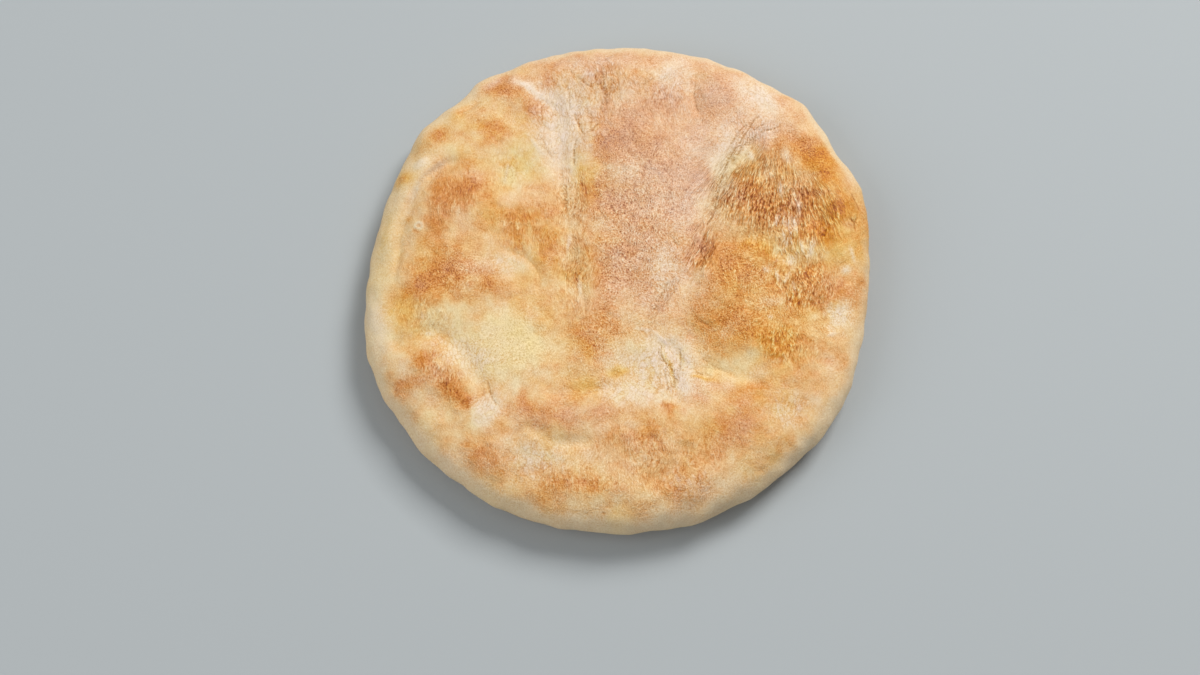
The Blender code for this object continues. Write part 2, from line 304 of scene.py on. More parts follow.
# Browning, flour and gold of the crust between its patches, and the most of each
BASE_TONE = (0.21, 0.06, 0.20)
TONE_MOST = (1.0, 1.3, 1.0)
# Patches of the crust's tone: ovals, then what each adds to the browning, the flour and the gold,
# in hundredths. A row may end before the flour or the gold
TONE_PATCHES = (
    # Broad drifts of tone
    (-55, 5, 42, 38, 0, 2, -5, 16), (66, 4, 28, 42, 0, 8, -8, 25), (2, 80, 60, 24, 0, 2, 30, -40),
    (14, 24, 24, 34, 0, 18, 2, -10), (34, 70, 34, 18, 0, 18, 18, -25),
    # Left shoulder
    (-64, 38, 15, 10, 25, 30), (-60, 39, 11, 3, 12, 24), (-57, 37, 4, 4, 0, 18),
    (-73.5, 34, 3, 7, -15, 10), (-70, 29, 3.5, 9, 0, 20), (-76, 12, 8, 10, 10, 12, 0, 10),
    (-80, 29, 3, 6, 0, -12, 0, 10), (-66, 16, 6, 5, 0, 16, -5), (-60, 30, 4, 4, 0, -10),
    (-66, 26, 4, 4, 0, -10), (-62, 22, 6, 6, 0, -10, 20), (-69, 2, 14, 7, 35, 42),
    (-65, -9, 7, 4, 0, 22), (-78, -4, 5, 4, 0, 7), (-84, -12, 6, 9, -20, 2, 0, 50),
    (-74, -15, 12, 9, 0, -16, 0, 30), (-64, -23, 6, 5, 0, -4, -15, 30), (-51, -1, 6, 6, 0, 26),
    (-44, 8, 12, 5, -10, -18, 45), (-56, 4, 8, 5, 0, 0, 20, -30), (-39, -9, 11, 7, 0, 8, 10, 20),
    # Left of the middle
    (-36, 25, 8, 8, 0, 30, 0, 10), (-36, 15, 5, 3, 0, 10, 0, 10), (-31, 16, 5, 5, 0, -18),
    (-26, 4, 4, 5, 0, 12, 0, 10), (-26, 31, 4, 5, 0, 14), (-25, 16, 5, 9, 0, 25, 0, 80),
    (-18, 0, 5, 7, 0, 11, 0, 50), (-50, 26, 9, 9, 0, 10, 0, 40), (-40, 36, 9, 6, 0, 6, 10, -40),
    (-45, 34, 4, 4, 0, -14, 5, 10),
    # Upper left
    (-46, 84, 9, 5, -15, 40, 0, 20), (-34, 74, 9, 3.5, -40, 25), (-28, 86, 3.5, 4, 0, 30, 0, 30),
    (-26, 93, 4, 2, 0, 25, 0, 30), (-50, 64, 5, 5, 0, 22, 0, 60), (-61, 76, 4, 3, 40, 22, 0, 30),
    (-52, 62, 20, 15, 20, 0, 5, 50), (-39, 46, 9, 11, 0, -22, 0, 55),
    (-53, 69, 9, 6, 10, 7, 0, 20), (-36, 83, 7, 1.6, -35, -30, 100, -20),
    (-23, 77.5, 11, 3.5, -22, -18, 90, -10), (-17, 80, 9, 6, 0, -10, 35, -5),
    # The rows at (-15, 62) and (-19, 62) lighten the fold there: partly its floury tone, partly
    # painted light over its shade
    (-24, 86, 4, 4, 0, -10, 20), (-29, 67, 4, 4, 0, -10, 15), (-15, 62, 5, 11, 10, -14, 55, -10),
    (-19, 62, 4, 10, 0, -14, 35), (-30, 73, 4, 4, 0, 12, -15), (-24, 60, 7, 13, 12, -20, 85, -10),
    (-22, 42, 5, 8, 12, 2, 35),
    # Middle
    (-8, 93, 13, 5, 0, 18, 40), (-5, 84, 2.5, 11, 0, 18), (3, 66, 9, 8, 0, 28, 15),
    (0, 57, 9, 5, 0, 36, 0, 55), (16, 76, 9, 6, 0, 27, 5), (14, 54, 5, 7, 0, 22),
    (-10, 45, 7, 6, 0, -6, 0, 75), (-16, 46, 3, 5, 0, -16, 10), (-12, 39, 3.5, 6, 10, 16, 0, 50),
    (-4, 33, 8, 8, 0, 22, 20), (3, 47, 7, 3.5, 0, -15, 20, 30), (2, 22, 9, 14, 0, 0, -10, 25),
    (22, 46, 9, 6, 0, 14, 5, -20), (10, -6, 26, 7, 0, 2, 12, -22), (20, 40, 20, 16, 0, 6, 55),
    (6, 20, 18, 16, 0, 8, 40), (-1, 1, 9, 12, 0, 24, 20, 5), (9, -13, 7, 5, 0, -10, 15, -10),
    (20, 3, 9, 9, 0, -12, 60), (31, 28, 7, 9, 0, -4, 40), (31, 40, 7, 8, 0, 32, 0, 10),
    (34, 6, 4, 4, 0, 8, -10, 10), (32, 0, 6, 5, 0, -16, 20, -10), (14, 8, 6, 5, 0, -12, 20, -10),
    (32, 14, 4.5, 10, -20, 38, 20), (-8, -21, 9, 11, 0, 26, -5), (-13, -32, 8, 9, 0, 18, 0, 30),
    (-19, -42, 7, 5, 0, -8, 5, 40), (-9, -44, 8, 4, 10, 8, 0, 60),
    (-36, -44, 6, 5, 0, -16, 10, -10), (-25, -4, 4, 5, 0, -2, 8, -30), (-28, -16, 5, 5, 0, 10),
    (-22, 8, 3, 4, 0, -4, 15, -40), (-15, 4, 5, 12, 0, -8), (18, -12, 9, 7, 0, 10, 50),
    # Upper right
    (23, 88, 11, 7, 35, -15, 60, -5), (41, 81, 8, 9, 0, 22, 15, 10),
    (57, 78, 7, 9, 15, -36, 110, -30), (44, 59, 5, 13, -20, -27, 75, 5), (32, 60, 8, 8, 0, 8, 35),
    (58, 62, 9, 6, 20, 12, 95, -35),
    # Large swelling on the right
    # Its paler rows on the left flank are partly painted light that lifts the shade of that slope
    (50, 36, 10, 9, 10, 26), (40, 42, 4, 9, -20, -18, 15), (48, 47, 5, 11, -20, -38, 25),
    (40, 29, 4, 6, 0, -18, 5), (59, 29, 9, 7, 0, 30), (63.5, 50, 4.5, 6, 0, 26, -20),
    (66, 14, 4, 5, 0, -12, 10, -20), (51, 22, 5, 3, 0, -12), (60, 11, 5, 4, 0, 14, 0, 10),
    (70, 27, 6, 6, 0, 8), (72, 33, 7, 9, 0, 30), (72.5, 57.5, 7, 6, 0, 26, 0, 20),
    (82.5, 48, 7, 12, 22, 35, 0, 90), (86, 28, 6, 6, 0, 40, 0, 80), (87, 13, 8, 8, 0, 6, 0, 60),
    (77, 18, 7, 4, 0, 34, -25, 10), (82, 13, 4, 4, 0, 8, 0, 10), (67, 23, 5, 6, 10, 0, 25),
    (69, 8, 4, 6, 0, -10, 35), (75.5, 9, 4, 6, -10, -20, 30), (78, 1, 5, 4, 0, 20, -10, 10),
    # Lower right
    (43, 12, 8, 5, 0, 24, 0, 20), (53, 13, 7, 4, -10, 14, 0, 80), (45, 1, 13, 7, 0, 24, 0, 20),
    (61, -12, 5, 3.5, 0, -20, 15, -50), (62, -5, 4, 3.5, 0, 12), (72, -13, 4, 3, 0, 16, 0, 10),
    (42, -16, 13, 8, 10, 24, 0, 30), (51, -26, 10, 5.5, 0, 20, -15, 50),
    (59, -30, 3.5, 4.5, 0, 14, -20, 60), (73.5, -2, 5, 9, 0, 22), (69, -10, 5, 3, 0, 24, 0, 40),
    (85, -5, 5, 5, 0, 25, 0, 20), (66, -26, 9, 13, 0, 16, -10, 50),
    (74, -16, 5, 4, 0, -14, 0, 10), (82, -19, 4, 4, 0, 12, -30, 10), (86, -15, 5, 6, 0, -35, 100),
    (40, -33, 10, 4, 0, -12, 8), (49, -38, 7, 4, -15, -16, 8, 20),
    (38, -42.5, 9, 3, 0, 2, 25, -40), (54, -34, 5, 3, 0, -4, -10, 25),
    (12, -52, 12, 4, 0, -6, 20, -25), (23, -43, 4, 5, 0, -8, 25, -20),
    (54, -47, 9, 5, 20, 15, 0, 10), (32, -48, 5, 3, -20, 20, 20),
    # Lower middle
    (16, -33, 9, 10, 0, -28, 95, 35), (20.5, -38, 1.4, 8, 18, 10, -80, 100),
    (25.5, -34, 0.9, 4.5, 0, 4, -50, 100), (34, -39.5, 7, 1, -6, 14, -30, 80),
    (26, -39, 4, 12, 0, -14, 50), (17, -23, 9, 3, -8, -6, 35, -10),
    (3, -31, 8, 8, 0, -18, 30, 10), (2, -36.7, 4.5, 2, 5, 10, -45, 90),
    (25, -32, 7, 12, 0, -10, 25, -25), (7, -46, 10, 5, 0, -22, 75, 10),
    (-2, -43, 5, 4, 0, -14, 30, -20), (27, -44, 7, 6, 0, -6, 40, -10),
    (19, -54, 4, 2.5, 0, 22, 0, 30), (-3, -54, 4, 3.5, 0, 25, 10), (-24, -55, 12, 5, 0, 28, 30),
    (-37, -50, 3, 4, 0, 28, 10),
    # Lower left
    (-41, -27, 16, 13, 0, -30, 10, 35), (-58, -29, 13, 6, -35, -22, 70, -10),
    (-50, -54, 5, 5, -20, -30, 100), (-77, -33, 5, 5, -30, 32, -15, 70),
    (-72, -29, 4, 3, 0, -12, 10), (-67, -43, 9, 5, -40, 36), (-59, -49, 4.5, 3.5, -25, 55),
    (-81, -42, 3, 3, 0, 30, 0, 10),
    # The end that the photograph hides
    (10, -66, 13, 8, 10, 20, 10, 30), (46, -62, 13, 8, 25, 28, 10, 20),
    (-30, -72, 10, 7, 0, -12, 50, 10), (-52, -72, 10, 7, -35, 32, 0, 10),
    (-14, -84, 14, 5, 0, 26, 10, 30), (28, -84, 9, 6, 15, 12, 30),
    (66, -54, 7, 6, 20, -10, 50, 10),
)

# How the patches' edges are worn: cell, shift, seed
TONE_WARPS = ((11.0, 2.6, 41), (3.9, 1.6, 43))
# Unevenness of the tone: cell, seed, then the amounts of browning, flour and gold
TONE_NOISE = (
    (12.0, 51, 0.04, 0.10, 0.22), (5.5, 54, 0.08, 0.12, 0.18), (2.6, 57, 0.08, 0.08, 0.10),
)

# The rim stays pale: width all round, what is added on the left, the share of the width that is
# fully pale, and how its edge wanders: cell, shift, seed
PALE_RIM = 4.2
PALE_RIM_LEFT = 10.0
PALE_FULL = 0.35
PALE_WANDER = (9.0, 1.5, 55)
# Where left is, and its half width, in degrees
PALE_LEFT_AT = 163
PALE_LEFT_HALF = 36
# Browning, flour and gold of the pale rim, the gold on the left only, and how much of the crust's
# own they take the place of
PALE_TONE = (0.04, 0.22, 0.28)
PALE_COVER = (0.8, 0.5, 0.5)
# Spots on the pale rim, rows as in the patches of tone
RIM_SPOTS = (
    (-86, 44, 3.6, 2.8, 60, 30, -10, 80), (-78, 50, 3.4, 2, 35, -12, 55, -10),
    (-85, 37, 2.6, 4.5, -20, 2, 10, 10), (-78, 57, 4, 5, -35, 22, -5, 40),
    (-82, 43, 3, 4, 0, 7, -10, 20), (-69, 54, 5, 3, 30, -12, 10),
    # The rows at (-80.5, 38) and (-73, 47.5) tint the groove inside the left rim grey-pink:
    # painted shade in the groove
    (-82.5, 26, 1.6, 1.6, 0, 22, 0, 40), (-80.5, 38, 1.4, 7, -25, 6, 30, -30),
    (-73, 47.5, 6, 1.5, 36, 6, 30, -30), (-79.4, 20.6, 1.4, 0.7, -35, 38, -20),
    (-72, 62.5, 4.2, 3.4, 20, 42, 0, 80), (-64, 71, 6, 3.5, 45, 12, -10, 40),
    # The row at (-93, -18) is painted light that lifts the shade where the rim turns from the
    # light
    (-93, -18, 4.5, 11, 18, -12, 40, -10), (-92, 20, 1.8, 9, -12, 5, 0, 40),
    (-91, -14, 3, 5, 15, 12, 0, 50), (-50, 86, 4, 1.6, 35, -5, 50, -20),
    (-89, 12, 4, 20, -12, 6, 0, 10), (99, 27, 5, 15, 5, 26, -20, 40),
    (95, -6, 5, 9, -10, 24, 0, 15), (0, 96, 40, 4, 0, 13, 15, -20),
    (62, 80, 16, 5, -38, 8, 10, -10),
)
# Painted shade on the pale rim, olive in hue: on its left side, where it turns from the light, and
# in the groove inside it. Ovals, how much. Then what it leaves of red, green, blue
PAINTED_RIM_SHADE_PLACES = (
    (-91, 12, 5, 22, -10, 0.8), (-97, -8, 3, 16, 0, 0.3), (-86, 38, 4, 8, -30, 0.5),
    (-80.5, 38, 1.4, 8, -22, 1), (-73, 47.5, 7, 1.4, 36, 1), (-78, 57, 4, 5, -35, 0.6),
)
PAINTED_RIM_SHADE_TINT = (0.88, 0.945, 0.96)
# What a whitened ridge adds to the browning, the flour and the gold
WHITE_TONE = (-0.15, 0.60, -0.10)

# The coarse part and the fine part of the skin's grain, plain, upright and along the fan: how
# each is drawn out and its weight
PLAIN_GRAIN = ((0.75, 0.55), (0.75, 1.4))
UPRIGHT_GRAIN = ((0.22, 0.7), (0.36, 1.3))
FAN_GRAIN = ((0.13, 0.80), (0.40, 1.05))
# Weight of the upright grain and the fan's for each millimetre of the ridges' height
RIDGED_WEIGHT = 3.0
# How the upright grain and the fan's waver: cell, shift, seed
WAY_WAVER = (11.0, 2.2, 93)
FAN_WAVER = (5.0, 0.7, 92)
# Fine wrinkles, each a crest beside a groove, in the bump and painted: painted light on the crest
# and painted shade in the groove. Then cells in a millimetre, width as a share of the noise's
# height, what brings their crests to 1, and how the upright ones and those along the fan are drawn
# out
WRINKLE_SCALE = 0.75
WRINKLE_WIDTH = 0.28
WRINKLE_PEAK = 2.33
WRINKLE_STRETCH = (0.30, 0.14)
# How much stronger the lines along the fan are than the upright ones
FAN_LINES = 1.9
# Noise of the grain: cells in a millimetre, and how many times as many its fine part has
GRAIN_SCALE = 1.2
FINE_GRAIN = 1.7
# The coarse mottle and the fine specks: cells in a millimetre, detail, roughness
MOTTLE = (0.17, 4.0, 0.65)
SPECKS = (1.15, 2.0, 0.6)
# Middle of a shader's noise, and what spreads it to about -1 to 1
NOISE_MIDDLE = 0.5
NOISE_SPREAD = 5.0
# Half width of a groove between ridges, in the numbers of the ridges' field
GROOVE_HALF_WIDTH = 0.3
# How the specks break up the lines of grooves, creases and cracks: what they leave of a line
# between specks, and its rise with them
GROOVE_BREAKS = (0.45, 0.6)
CREASE_BREAKS = (0.7, 0.8)
CRACK_BREAKS = (0.6, 0.5)
# How dark a groove between ridges is next to a crease, and a crack between flakes: partly their
# browner tone, partly painted shade
GROOVE_SHARE = 0.75
CRACK_SHARE = 0.34
# Where on a ridge its painted highlight starts, and how much higher it is fully light
CREST_FROM = 0.22
CREST_REACH = 0.45
# Where the grain shows: how much all over, and how much more in some ovals
GRAIN_BASE = 0.45
GRAIN_PLACES = (
    (60, 32, 24, 28, 0, 0.75), (58, -8, 30, 24, 0, 0.75), (10, 22, 26, 36, 0, 0.65),
    (-4, -26, 24, 22, 0, 0.35), (20, -36, 22, 16, 0, 0.45), (-66, 2, 18, 13, 20, 0.35),
    (-75, -16, 12, 8, 0, 0.6), (-40, -28, 18, 14, 0, 0.55), (-18, 18, 10, 34, 0, 0.4),
    (-66, -40, 16, 12, -35, 0.35), (0, -80, 60, 20, 0, 0.5), (0, 78, 46, 24, 0, 0.18),
    (-60, 30, 20, 22, 0, 0.12),
)
# How strongly the grain changes the browning: at no browning, the rise with the browning's square
# and with the flour, and the most. Then what a pit's height, which is less than 0, and a pebble's
# are multiplied by. Browner pits and paler pebbles are partly the crust's own grain of tone and
# partly painted shade and painted light
GRAIN_BROWNING = (0.06, 0.90, 0.12, 0.34)
PIT_BROWNING = -0.90
PEBBLE_BROWNING = -0.70
# What each part of the skin's pattern adds to the browning, and the rise of that with the
# browning. Less browning on the wrinkles' crests, the creases' lips and the ridges' crests is
# painted light, more in the wrinkles' grooves painted shade
BROWNING_SHARES = {
    "mottle": (0.02, 0.14), "groove": (0.10, 0), "lines": (-0.085, 0), "painted_lip_highlight": (-0.09, 0),
    "crack": (0.13, 0), "painted_crest_highlight": (0, -0.45),
}
# The same for the flour that lies on the crust, with the rise with the flour, and how much of the
# crust's colour the flour covers
COVER_SHARES = {
    "specks": (0.05, 0.18), "grain": (0.07, 0.30), "lines": (0, 0.3), "lot": (0.7, 0),
    "crack": (-0.8, 0),
}
FLOUR_COVER = 0.62
# The same for how light the colour is, which is painted light and shade: darker pits and lighter
# pebbles of the grain, lighter crests and darker grooves of the wrinkles, lighter lips beside the
# creases. Then for the height in millimetres, which rises with the coarseness of the skin
PAINTED_SHADING_SHARES = {"grain": (0.09, 0), "lines": (0.06, 0), "painted_lip_highlight": (0.05, 0)}
HEIGHT_SHARES = {
    "grain": (0.02, 0.06), "specks": (0.03, 0), "groove": (-0.20, 0), "lines": (0.06, 0),
    "crack": (-0.06, 0), "lot": (0.10, 0),
}
# Roughness of plain skin, and what the browning and the flour add to it
ROUGHNESS = (0.66, -0.20, 0.25)
IOR = 1.42
# What a groove, a crease or a crack does to the crust's colour, partly its browner tone and partly
# painted shade: share of red, green and blue that is left
GROOVE_TONE_AND_SHADE = (0.65, 0.52, 0.32)

# Where the skin is crazed into flakes: ovals, how much
FLAKE_PLACES = (
    (-20, 70, 16, 20, 0, 0.9), (-6, 86, 14, 10, 0, 0.6), (20, 84, 14, 10, 0, 0.6),
    (58, 80, 8, 10, 20, 0.8), (45, 60, 6, 12, -20, 0.6), (57, 64, 10, 6, 15, 0.7),
    (68, 14, 9, 14, 0, 0.7), (86, -15, 6, 7, 0, 0.8), (16, -38, 14, 13, 0, 1),
    (4, -46, 12, 6, 0, 0.8), (-60, -30, 14, 9, -35, 0.9), (-50, -52, 7, 7, 0, 0.9),
    (-74, -18, 9, 8, 0, 0.8), (-46, 8, 12, 6, -10, 0.5), (-40, 47, 10, 10, 0, 0.5),
    (20, 3, 12, 14, 0, 0.6), (-30, -74, 12, 9, 0, 0.8), (66, -54, 9, 8, 20, 0.8),
    (28, -80, 12, 8, 15, 0.7),
)
# The flakes: cells in a millimetre, their stretch, how far their edges wander and the cells of
# that, half width of the cracks between them as a share of a flake
FLAKE_SCALE = 0.55
FLAKE_STRETCH = 0.65
FLAKE_WANDER = 0.9
FLAKE_WANDER_SCALE = 0.9
CRACK_HALF_WIDTH = 0.24

# Tone of the side: browning, flour, gold. Then how the browning wanders: cell, amount, seed, the
# gold added on the left, and how far down, as a share, the side is free of the underside's tone
SIDE_TONE = (0.08, 0.05, 0.15)
SIDE_WANDER = (23.0, 0.07, 64)
SIDE_LEFT_GOLD = 0.2
SIDE_FULL = 0.25
# Tone of the flat underside: browning, flour, gold. Then the unevenness: which of the three,
# cell, amount, seed
UNDER_TONE = (0.46, 0.30, 0.25)
UNDER_NOISE = ((0, 17.0, 0.20, 61), (0, 6.0, 0.14, 62), (1, 11.0, 0.35, 63))

# The flat map: how much of its radius the side takes, and the middle and radius of its two discs
MAP_SIDE = 0.13
MAP_DISCS = ((0.405, 0.395), (0.81, 0.18))

# Colours as seen under the scene's light, red, green and blue out of 255: plain and golden crust
# at steps of browning, flour
BAKE_STEPS = (0.0, 0.22, 0.45, 0.68, 1.0)
PLAIN_CRUST = ((241, 219, 178), (235, 192, 141), (224, 161, 102), (209, 137, 77), (168, 96, 42))
GOLDEN_CRUST = ((238, 213, 152), (233, 186, 108), (222, 152, 68), (207, 128, 46), (164, 90, 28))
FLOUR_COLOUR = (240, 220, 203)
# How much of a seen colour is the surface's own, once the gloss on it is taken off
OWN_SHARE = 0.93
GLOSS = 0.034

# The floor lies a little under the bread, so that the two faces don't meet
FLOOR_COLOUR = (0.408, 0.436, 0.447)
FLOOR_ROUGHNESS = 0.8
FLOOR_SIZE = 8000.0
FLOOR_DROP = 0.3

# Lights: name, place in metres, size in metres, power in watts, colour. Then the sky's light
LIGHTS = (
    ("key", (0.95, 1.15, 1.60), 0.9, 42.0, (1.0, 0.99, 0.97)),
    ("fill", (-1.5, -0.5, 1.3), 1.6, 14.6, (0.98, 0.99, 1.0)),
)
SKY_COLOUR = (0.93, 0.965, 1.0)
SKY_STRENGTH = 0.33

# The photograph's frame in pixels, the camera's lens and sensor, and where it stands
FRAME_WIDTH = 1200
FRAME_HEIGHT = 675
LENS = 70.0
SENSOR = 36.0
CAMERA_ELEVATION = 70.0
CAMERA_DISTANCE = 928.0
AIM_POINT = (*FEATURE_ZERO, 12.0)
AIM_PIXEL = (616.5, 288.0)


def smooth_step(value):
    """0 below 0, 1 above 1, with a soft rise between them."""
    held = np.clip(value, 0.0, 1.0)
    return held * held * (3.0 - 2.0 * held)


def lattice_noise(x, y, cell, height, seed):
    """Smooth noise from random heights on a square lattice, as in the solid."""
    size = 64
    heights = np.random.default_rng(seed).uniform(-1.0, 1.0, (size, size))
    u, v = x / cell + size / 2, y / cell + size / 2
    column, row = np.floor(u).astype(int), np.floor(v).astype(int)
    across, along = smooth_step(u - column), smooth_step(v - row)
    near, far = (
        heights[line % size, column % size] * (1 - across)
        + heights[line % size, (column + 1) % size] * across
        for line in (row, row + 1)
    )
    return height * (near * (1 - along) + far * along)


def gradient_noise(points, cell, height, seed):
    """Smooth noise in space, from random slopes on a lattice. cell may differ by axis."""
    size = 64
    random = np.random.default_rng(seed)
    slopes = random.normal(size=(size, size, size, 3))
    slopes /= np.linalg.norm(slopes, axis=3, keepdims=True)
    place = points / np.asarray(cell, float)
    corner = np.floor(place).astype(int)
    within = place - corner
    ease = within**3 * (within * (within * 6 - 15) + 10)
    total = np.zeros(len(points))
    for step in np.ndindex(2, 2, 2):
        at = (corner + step) % size
        slope = slopes[at[:, 0], at[:, 1], at[:, 2]]
        share = np.prod(np.where(step, ease, 1 - ease), 1)
        total += share * ((within - step) * slope).sum(1)
    return height * (total * SLOPE_GAIN)


def bell(value):
    """1 at 0, falling softly to 0 on both sides."""
    return np.exp(-(value**2))


def ease_ends(share, part):
    """1 along a route, and 0 at its two ends, with a rise over a part of it."""
    return smooth_step(share / part) * smooth_step((1 - share) / part)


def turn_from(angle, place):
    """How far an angle is from a place in degrees, the short way round."""
    return np.angle(np.exp(1j * (angle - math.radians(place))))


def outline_radius(angle):
    """Distance from the middle to the widest level of the rim."""
    radius = np.full_like(angle, MEAN_RADIUS)
    for waves, height, painted_crest_highlight in OUTLINE_WAVES:
        radius = radius + height * np.cos(waves * (angle - math.radians(painted_crest_highlight)))
    for place, half_width, height in OUTLINE_KNOBS:
        radius = radius + height * bell(turn_from(angle, place) / math.radians(half_width))
    return radius


def shoulder_width(angle):
    """How far in from the outline the rim reaches the crust's level."""
    return SHOULDER_MEAN + SHOULDER_SWING * np.cos(angle - math.radians(SHOULDER_WIDEST_AT))


def widest_level(angle):
    """Level at which the rim is widest. It rises and falls round the bread."""
    waves = [np.cos(count * angle + turn) for count, turn in WIDEST_WAVES]
    return WIDEST_LEVEL + WIDEST_WANDER * np.prod(waves, 0)


def oval(x, y, half_length, half_width, turned, sharpness=OVAL_SHARPNESS):
    """1 in the middle of an oval, falling softly to 0 past its edge."""
    c, s = math.cos(math.radians(turned)), math.sin(math.radians(turned))
    reach = np.hypot((x * c + y * s) / half_length, (y * c - x * s) / half_width)
    return np.exp(-(reach**sharpness))


def oval_sum(u, v, rows):
    """Height of some ovals together."""
    return sum(height * oval(u - x, v - y, *form) for x, y, *form, height in rows)


def oval_most(u, v, rows):
    """The most that any of some ovals gives to each point."""
    return np.max([most * oval(u - x, v - y, *form) for x, y, *form, most in rows], 0)


def smooth_route(points):
    """Points along the smooth curve through a few given ones."""
    given = np.array([points[0], *points, points[-1]], float)
    share = np.linspace(0, 1, ROUTE_STEPS, endpoint=False)[:, None]
    route = []
    for a, b, c, d in zip(given, given[1:], given[2:], given[3:]):
        bend, twist = 2 * a - 5 * b + 4 * c - d, 3 * (b - c) + d - a
        route.append(0.5 * (2 * b + (c - a) * share + bend * share**2 + twist * share**3))
    return np.vstack([*route, given[-1:]])


def route_gap(x, y, points):
    """Distance to the left of a smooth route, less than 0 to its right, and the share of it that
    is passed at its nearest place."""
    route = smooth_route(points)
    nearest = np.full_like(x, np.inf)
    share = np.zeros_like(x)
    for step in range(len(route) - 1):
        start, run = route[step], route[step + 1] - route[step]
        along = ((x - start[0]) * run[0] + (y - start[1]) * run[1]) / (run @ run)
        along = np.clip(along, 0, 1)
        off_x, off_y = x - start[0] - along * run[0], y - start[1] - along * run[1]
        gap = np.hypot(off_x, off_y) * np.where(run[0] * off_y > run[1] * off_x, 1, -1)
        closer = np.abs(gap) < np.abs(nearest)
        nearest = np.where(closer, gap, nearest)
        share = np.where(closer, (step + along) / (len(route) - 1), share)
    return nearest, share


def fold_sum(u, v, rows):
    """Depth of some folds together, which fade out towards their ends."""
    depth = np.zeros_like(u)
    for half_width, deep, *points in rows:
        gap, share = route_gap(u, v, points)
        depth += deep * bell(gap / half_width) * ease_ends(share, FOLD_ENDS)
    return depth


def crust_relief(x, y):
    """Height of the crust's own relief over the pillow shape, as in the solid."""
    u, v = x - FEATURE_ZERO[0], y - FEATURE_ZERO[1]
    height = oval_sum(u, v, SWELLINGS) - oval_sum(u, v, HOLLOWS) - fold_sum(u, v, FOLDS)
    return height + sum(lattice_noise(x, y, *wave) for wave in CRUST_WAVES)


def shoulder(climb):
    """Height of the rounded shoulder, both as shares from 0 at the rim to 1 at the crust."""
    return (1 - (1 - climb) ** SHOULDER_FULLNESS) ** (1 / SHOULDER_FULLNESS)


def top_level(share, angle):
    """Level of the crust at a share of the way from the middle to the outline."""
    radius = outline_radius(angle)
    inward = radius * (1 - share)
    base = widest_level(angle)
    rounding = shoulder(np.clip(inward / shoulder_width(angle), 0, 1))
    level = base + (CRUST_LEVEL - base) * rounding + CROWN_RISE * (1 - share**2)
    x, y = radius * share * np.cos(angle), radius * share * np.sin(angle)
    return level + crust_relief(x, y) * smooth_step(inward / FEATURE_FADE)


def ring_shares():
    """Shares of the radius where the rings go, evenly spaced along the section."""
    share = 1 - np.linspace(1, 0, PROFILE_STEPS) ** 2
    rounding = shoulder(np.clip(MEAN_RADIUS * (1 - share) / SHOULDER_MEAN, 0, 1))
    level = WIDEST_LEVEL + (CRUST_LEVEL - WIDEST_LEVEL) * rounding
    steps = np.hypot(np.diff(share * MEAN_RADIUS), np.diff(level))
    length = np.concatenate([[0], np.cumsum(steps)])
    return np.interp(np.linspace(0, length[-1], RINGS + 1), length, share)


def ring_counts():
    """How many points each ring has: of the crust from its middle, of the side, and of the
    underside to its middle."""
    crust = [max(RING_GROWTH * ring, 1) for ring in range(RINGS + 1)]
    return crust, crust[-1:] * SIDE_RINGS, crust[:UNDER_RINGS][::-1]


def ring_points(angle, reach, level):
    """Points at some angles, each at its distance from the middle and its level."""
    return np.stack([reach * np.cos(angle), reach * np.sin(angle), level + 0 * angle], 1)


def rings_and_angles(counts):
    """The number of the ring that each point is on, and the point's angle."""
    angle = np.concatenate([np.arange(count) * 2 * math.pi / count for count in counts])
    return np.repeat(np.arange(len(counts)), counts), angle


def skin_points():
    """Points of the crust, of the side that turns in under the rim, and of the flat underside."""
    crust_counts, side_counts, under_counts = ring_counts()
    ring, angle = rings_and_angles(crust_counts)
    share = ring_shares()[ring]
    crust = ring_points(angle, outline_radius(angle) * share, top_level(share, angle))
    ring, angle = rings_and_angles(side_counts)
    turn = math.radians(90) * (ring + 1) / SIDE_RINGS
    reach = outline_radius(angle) - UNDER_INSET * (1 - np.cos(turn))
    side = ring_points(angle, reach, widest_level(angle) * (1 - np.sin(turn)))
    ring, angle = rings_and_angles(under_counts)
    reach = (outline_radius(angle) - UNDER_INSET) * (UNDER_RINGS - 1 - ring) / UNDER_RINGS
    return crust, side, ring_points(angle, reach, 0)


def ring_faces(start, here, there):
    """Triangles between a ring of points and the next one. Each spans one step of either ring.
    They go in the order in which the steps end, and of two that end together the one on the ring
    with more points is first."""
    steps = [count * (count > 1) for count in (here, there)]
    of_next = np.repeat([False, True], steps)
    ends = np.concatenate([np.arange(1, count + 1) / max(count, 1) for count in steps])
    of_next = of_next[np.lexsort((of_next != (there >= here), ends))]
    near, far = np.cumsum(~of_next) - ~of_next, np.cumsum(of_next) - of_next
    following = np.where(of_next, start + here + (far + 1) % there, start + (near + 1) % here)
    return np.stack([start + near % here, start + here + far % there, following], 1)


def skin_faces():
    """Every triangle of the skin, ring by ring from the crust's middle to the underside's."""
    counts = np.concatenate(ring_counts()).tolist()
    starts = np.cumsum([0, *counts]).tolist()
    return np.vstack([ring_faces(*rings) for rings in zip(starts, counts, counts[1:])])


def point_normals(points, faces):
    """Directions in which the skin faces at its points."""
    a, b, c = (points[faces[:, corner]] for corner in range(3))
    across = np.cross(b - a, c - a)
    normals = np.zeros_like(points)
    for corner in range(3):
        for axis in range(3):
            normals[:, axis] += np.bincount(faces[:, corner], across[:, axis], len(points))
    return normals / np.linalg.norm(normals, axis=1, keepdims=True)


def fan_way(u, v):
    """Place across and along the wrinkles that spread from the fan's point."""
    fall = np.maximum(FAN_POINT[1] - v, FAN_LEAST)
    return (u - FAN_POINT[0]) * (FAN_REACH / fall) ** FAN_BEND, fall


